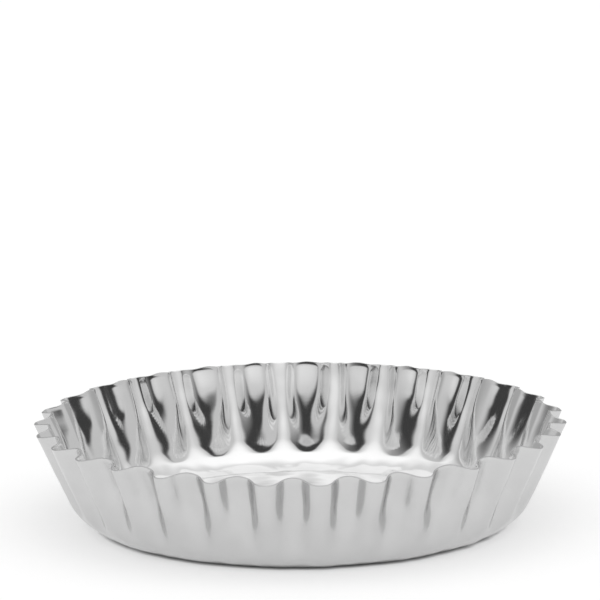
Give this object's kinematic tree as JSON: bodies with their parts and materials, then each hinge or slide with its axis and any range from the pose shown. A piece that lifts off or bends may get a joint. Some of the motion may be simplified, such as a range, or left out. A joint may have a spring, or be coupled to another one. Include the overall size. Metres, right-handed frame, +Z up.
{
  "type": "mini pie pan",
  "caption": "Small round pie pan with a flared, fluted wall, a wavy rim, a rounded bottom corner and a loose base that lifts out to free the pie.",
  "frame": {"origin": "centre of the underside, at the level of the surface that the pan stands on", "axes": "+Z up along the pan's axis; -Y is the front and +Y the back, each through the crest of an outward flute"},
  "size_m": [0.0994, 0.1, 0.0197],
  "materials": {
    "ring_tinplate": "bright tinned steel sheet, mirror-like inside, softer satin outside",
    "base_tinplate": "bright tinned steel sheet, rolled flat"
  },
  "bodies": {
    "ring": {"fluted_ring": "ring_tinplate"},
    "base": {"loose_base": "base_tinplate"}
  },
  "joints": [
    {"name": "base_lift", "type": "slide", "parent": "ring", "child": "base", "axis": [0, 0, 1], "range_m": [0, 0.03]}
  ]
}
